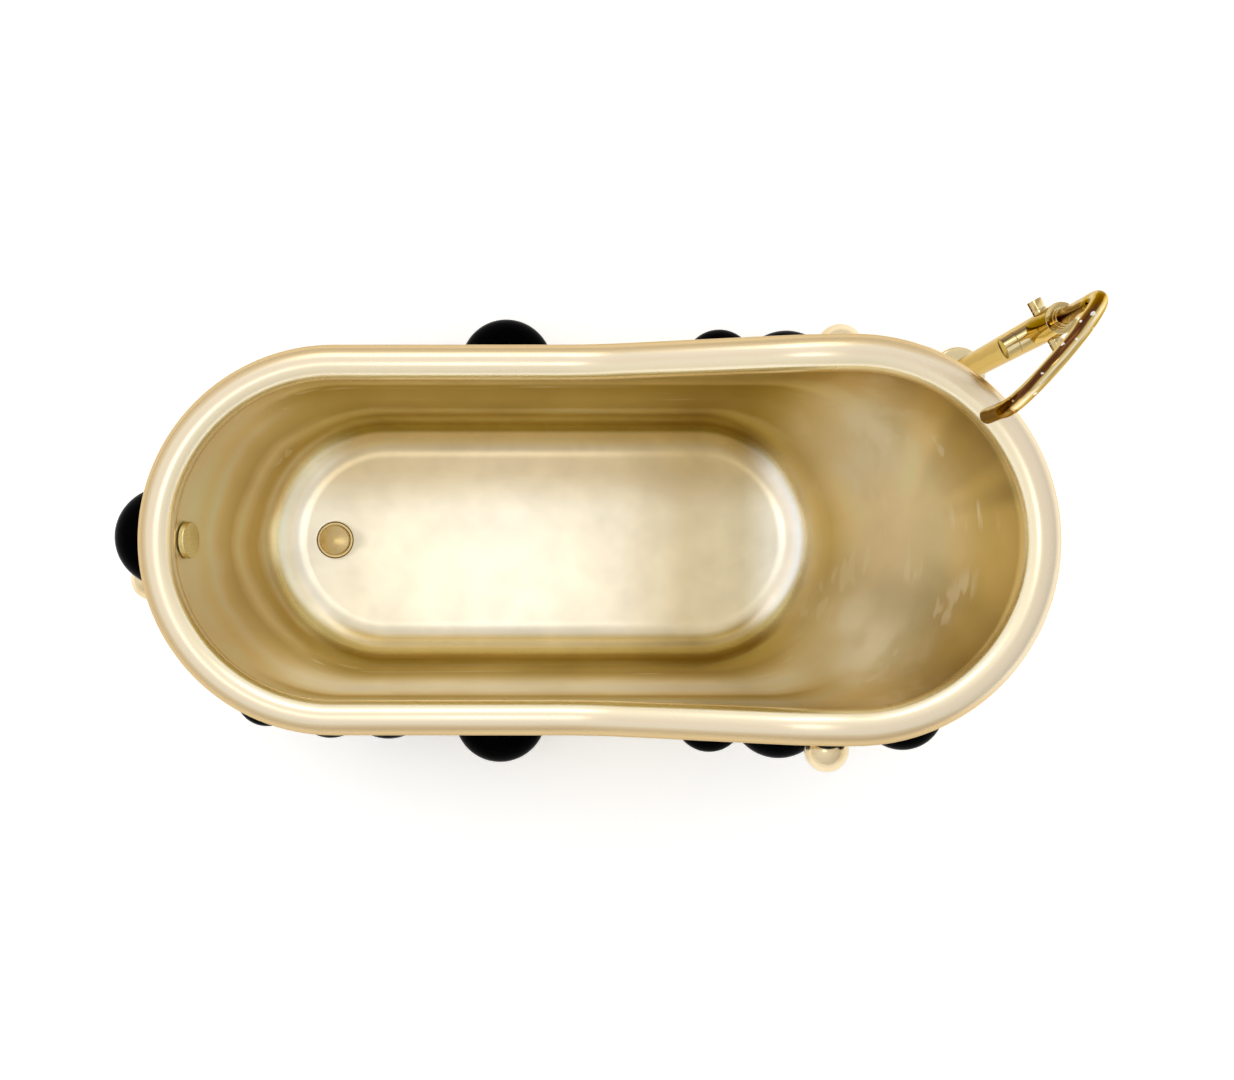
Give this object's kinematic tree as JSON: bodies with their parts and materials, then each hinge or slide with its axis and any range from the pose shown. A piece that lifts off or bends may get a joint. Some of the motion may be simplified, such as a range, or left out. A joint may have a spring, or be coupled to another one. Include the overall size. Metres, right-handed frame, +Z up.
{
  "type": "freestanding slipper bathtub with floor tap",
  "caption": "Freestanding slipper bath with a rolled rim that rises to the head end, black and gold balls on its outer skin, click waste, overflow and a floor-standing swan-neck tap.",
  "frame": {"origin": "on the floor under the middle of the bath, at the underside of its centre foot pad", "axes": "+Z up, +X towards the raised head end, +Y towards the side where the tap stands"},
  "size_m": [1.9211, 0.9673, 1.2139],
  "materials": {
    "bath_brass": "brushed and polished, slightly cloudy",
    "black_gloss": "deep gloss",
    "cartridge_plastic": "moulded",
    "fitting_brass": "polished",
    "frame_paint": "powder coat",
    "gold_ball": "polished",
    "grey_plastic": "moulded",
    "pipe_copper": "drawn copper",
    "rubber": "matt",
    "steel_bolts": "zinc plated",
    "tap_brass": "polished to a mirror"
  },
  "bodies": {
    "bath": {"ball_bolts": "steel_bolts", "ball_far_1": "black_gloss", "ball_far_2": "black_gloss", "ball_far_3": "black_gloss", "ball_far_4_hidden": "black_gloss", "ball_far_5": "black_gloss", "ball_foot_1": "black_gloss", "ball_near_1": "black_gloss", "ball_near_2": "black_gloss", "ball_near_3": "black_gloss", "ball_near_4": "black_gloss", "ball_near_5": "black_gloss", "ball_near_6": "black_gloss", "ball_near_7": "black_gloss", "ball_near_8": "black_gloss", "balls_far_hidden": "black_gloss", "base_frame": "frame_paint", "basin_support_pads": "rubber", "basin_with_rolled_rim": "bath_brass", "casing_bolts": "steel_bolts", "foot_lock_nuts": "steel_bolts", "foot_pads": "rubber", "foot_stems": "steel_bolts", "front_knob_collar": "tap_brass", "gold_ball_far": "gold_ball", "gold_ball_foot": "gold_ball", "gold_ball_near": "gold_ball", "mixer_body": "tap_brass", "outer_casing": "bath_brass", "overflow_body": "fitting_brass", "overflow_gasket": "rubber", "overflow_grub_screw": "steel_bolts", "overflow_pipe": "grey_plastic", "overflow_rosette": "fitting_brass", "side_knob_collars": "tap_brass", "spout_collar": "tap_brass", "spout_riser": "pipe_copper", "supply_pipes": "pipe_copper", "tap_base_bolts": "steel_bolts", "tap_base_cover": "tap_brass", "tap_base_plate": "tap_brass", "tap_column": "tap_brass", "tap_column_cap": "tap_brass", "trap_tee": "grey_plastic", "valve_cartridges": "cartridge_plastic", "waste_back_nut": "fitting_brass", "waste_body": "fitting_brass", "waste_gasket": "rubber"},
    "plug": {"click_plug": "fitting_brass", "plug_seal": "rubber"},
    "spout": {"swan_neck_spout": "tap_brass", "spout_aerator": "tap_brass"},
    "front_control": {"front_knob": "tap_brass", "front_spindle": "steel_bolts"},
    "left_control": {"left_knob": "tap_brass", "left_spindle": "steel_bolts"},
    "right_control": {"right_knob": "tap_brass", "right_spindle": "steel_bolts"}
  },
  "joints": [
    {"name": "plug_click", "type": "slide", "parent": "bath", "child": "plug", "axis": [0, 0, 1], "range_m": [0, 0.008]},
    {"name": "spout_swivel", "type": "hinge", "parent": "bath", "child": "spout", "pos_m": [0.845, 0.391, 0.89], "axis": [0, 0, 1], "range_deg": [-60, 60]},
    {"name": "front_knob_turn", "type": "hinge", "parent": "bath", "child": "front_control", "pos_m": [0.845, 0.391, 0.74], "axis": [-0.8788, -0.4772, 0], "range_deg": [0, 180]},
    {"name": "left_knob_turn", "type": "hinge", "parent": "bath", "child": "left_control", "pos_m": [0.845, 0.391, 0.795], "axis": [0.4772, -0.8788, 0], "range_deg": [0, 90]},
    {"name": "right_knob_turn", "type": "hinge", "parent": "bath", "child": "right_control", "pos_m": [0.845, 0.391, 0.795], "axis": [-0.4772, 0.8788, 0], "range_deg": [0, 90]}
  ]
}
